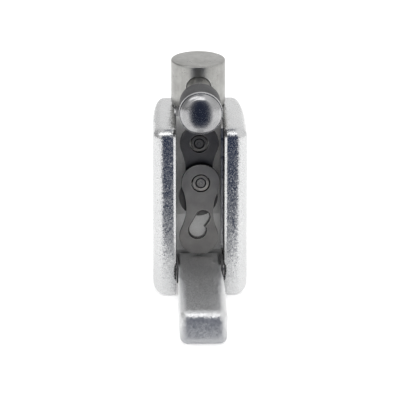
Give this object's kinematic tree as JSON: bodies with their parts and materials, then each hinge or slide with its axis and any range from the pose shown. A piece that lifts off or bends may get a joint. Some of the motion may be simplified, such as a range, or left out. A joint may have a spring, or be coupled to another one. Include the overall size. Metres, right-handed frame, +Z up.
{
  "type": "folding bicycle chain tool",
  "caption": "Compact chain tool: two metal plates around a chain block, a drive screw with a sliding cross bar, a folding handle, and stored quick link halves.",
  "frame": {"origin": "middle of the tool's footprint with its handle open, on the face that it rests on", "axes": "+X to the right along the handle's pivot, +Y to the back, away from the open handle, +Z up along the drive screw"},
  "size_m": [0.021, 0.059, 0.0497],
  "materials": {
    "blasted_aluminium": "bead blasted",
    "machined_block": "satin machined",
    "turned_steel": "fine turned",
    "polished_steel": "polished",
    "dark_steel": "black oxide",
    "hardened_steel": "ground",
    "magnet_plating": "nickel plated",
    "grey_sleeve": "matte"
  },
  "bodies": {
    "body": {"left_side_plate": "blasted_aluminium", "right_side_plate": "blasted_aluminium", "chain_block": "machined_block", "cradle_plate": "hardened_steel", "anvil_bush": "hardened_steel", "link_magnet_upper": "magnet_plating", "link_magnet_lower": "magnet_plating", "link_spring": "hardened_steel", "body_bolt_upper": "dark_steel", "body_bolt_lower": "dark_steel", "alignment_dowel": "hardened_steel", "handle_pivot_pin": "hardened_steel", "pivot_washer_left": "grey_sleeve", "pivot_washer_right": "grey_sleeve"},
    "handle": {"folding_handle": "blasted_aluminium"},
    "pin": {"press_pin": "hardened_steel"},
    "screw": {"drive_screw": "turned_steel"},
    "bar": {"cross_bar": "turned_steel", "bar_sleeve": "grey_sleeve", "bar_stop_ring": "turned_steel", "bar_knob": "polished_steel"},
    "rear_link": {"rear_link_plate": "dark_steel", "rear_link_pin": "dark_steel"},
    "front_link": {"front_link_plate": "dark_steel", "front_link_pin": "dark_steel"}
  },
  "joints": [
    {"name": "handle_fold", "type": "hinge", "parent": "body", "child": "handle", "pos_m": [0, 0.0032, 0.0056], "axis": [1, 0, 0], "range_deg": [-90, 0]},
    {"name": "screw_feed", "type": "slide", "parent": "body", "child": "pin", "axis": [0, 0, 1], "range_m": [0, 0.00801]},
    {"name": "screw_turn", "type": "hinge", "parent": "pin", "child": "screw", "pos_m": [0, 0.0201, 0.0446], "axis": [0, 0, 1], "range_deg": [0, 2880]},
    {"name": "bar_slide", "type": "slide", "parent": "screw", "child": "bar", "axis": [0, 1, 0], "range_m": [-0.0023, 0.0095]},
    {"name": "rear_link_lift", "type": "slide", "parent": "body", "child": "rear_link", "axis": [0, -1, 0], "range_m": [0, 0.02]},
    {"name": "front_link_lift", "type": "slide", "parent": "rear_link", "child": "front_link", "axis": [0, -1, 0], "range_m": [0, 0.02]}
  ],
  "couplings": [
    {"joint": "screw_feed", "follows": "screw_turn", "m_per_rad": 0.00015915}
  ]
}
